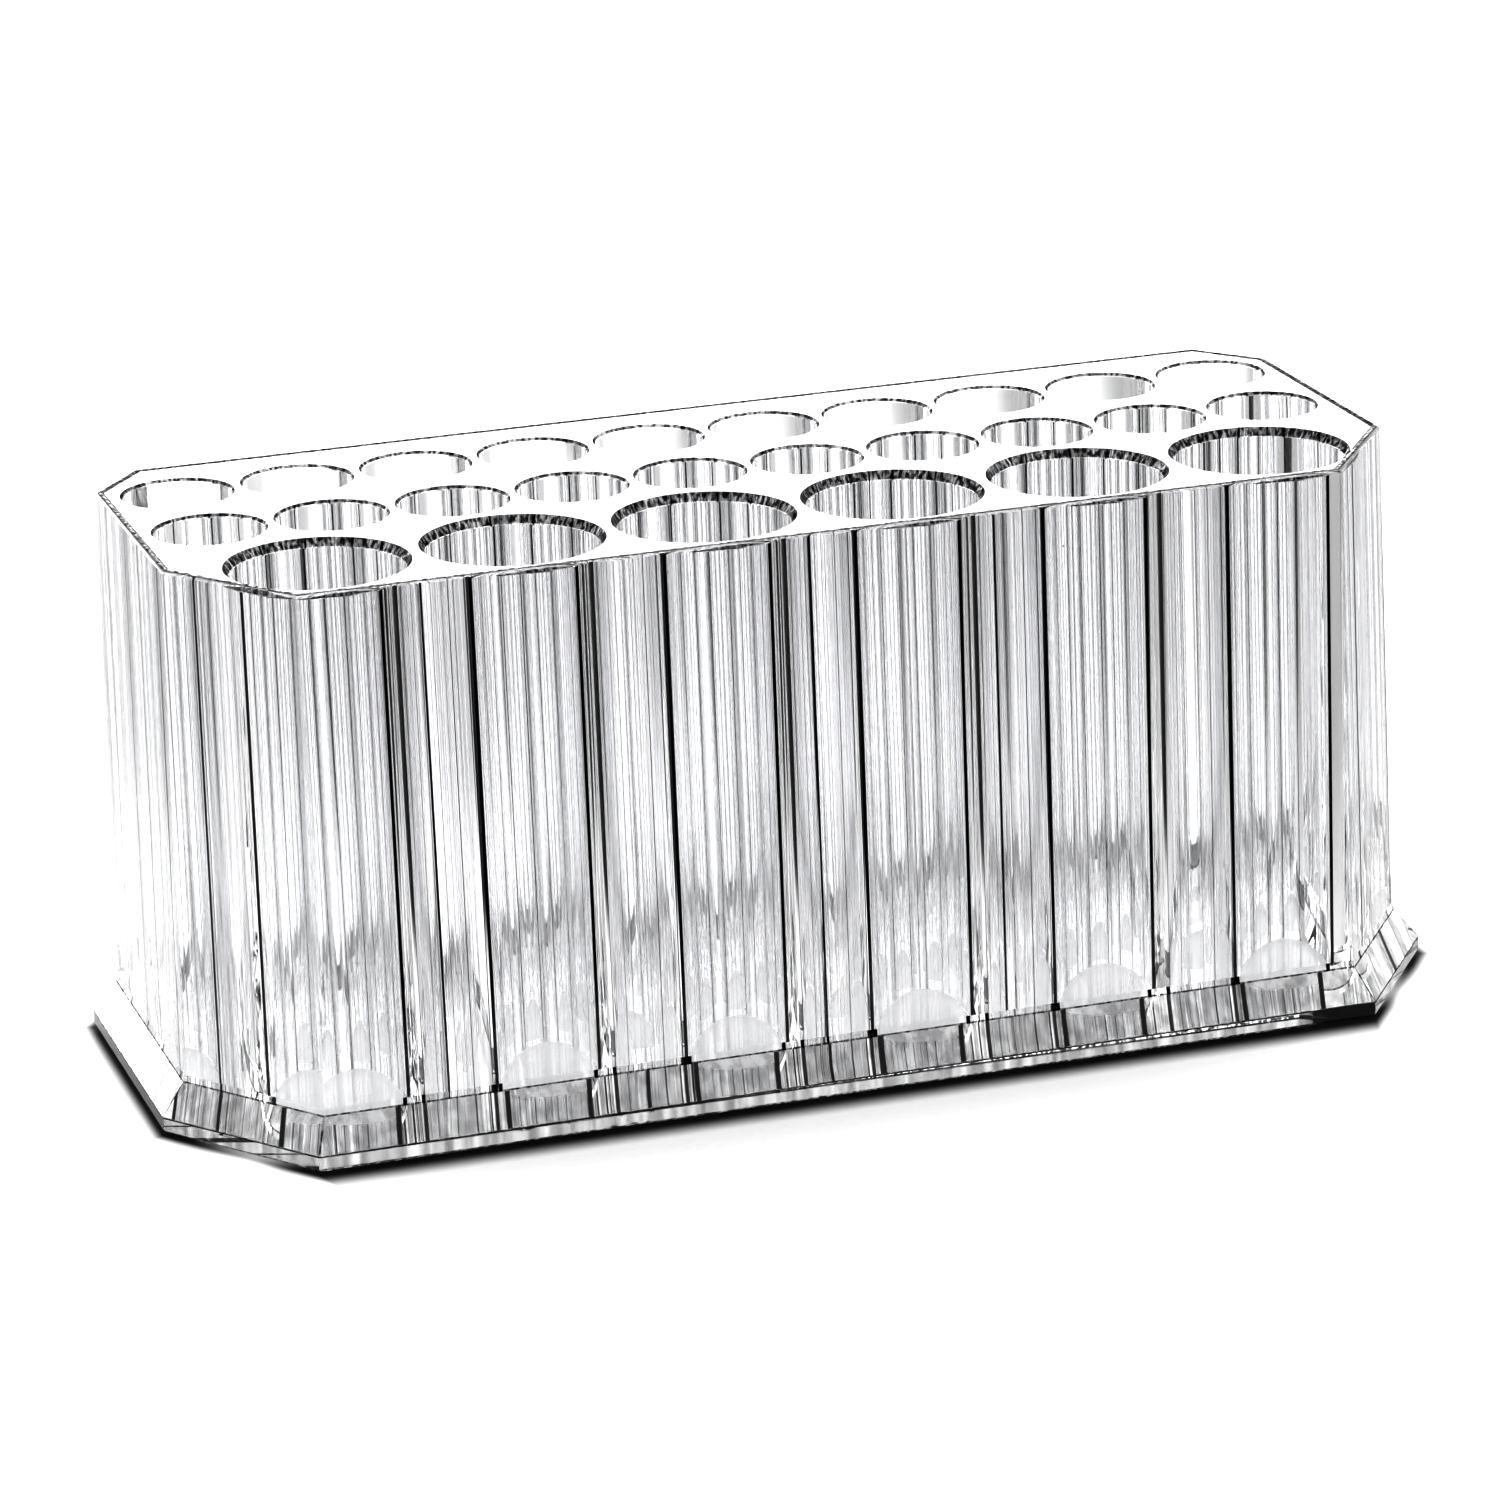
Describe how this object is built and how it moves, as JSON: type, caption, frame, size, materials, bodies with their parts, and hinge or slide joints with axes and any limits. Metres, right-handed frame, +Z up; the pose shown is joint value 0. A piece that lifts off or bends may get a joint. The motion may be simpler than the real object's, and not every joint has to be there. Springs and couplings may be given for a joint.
{
  "type": "brush rack",
  "caption": "Clear moulded rack with rows of deep round bores that stand brushes upright, on a flared foot with a bonded flat base plate.",
  "frame": {"origin": "middle of the underside of the base plate, on the surface it stands on", "axes": "+X along the rows of bores, -Y towards the side with the large bores, +Z up"},
  "size_m": [0.22, 0.0966, 0.0934],
  "materials": {
    "body_plastic": "polished clear moulded plastic",
    "plate_plastic": "polished clear plastic sheet"
  },
  "bodies": {
    "root": {"rack_body": "body_plastic", "base_plate": "plate_plastic"}
  },
  "joints": []
}
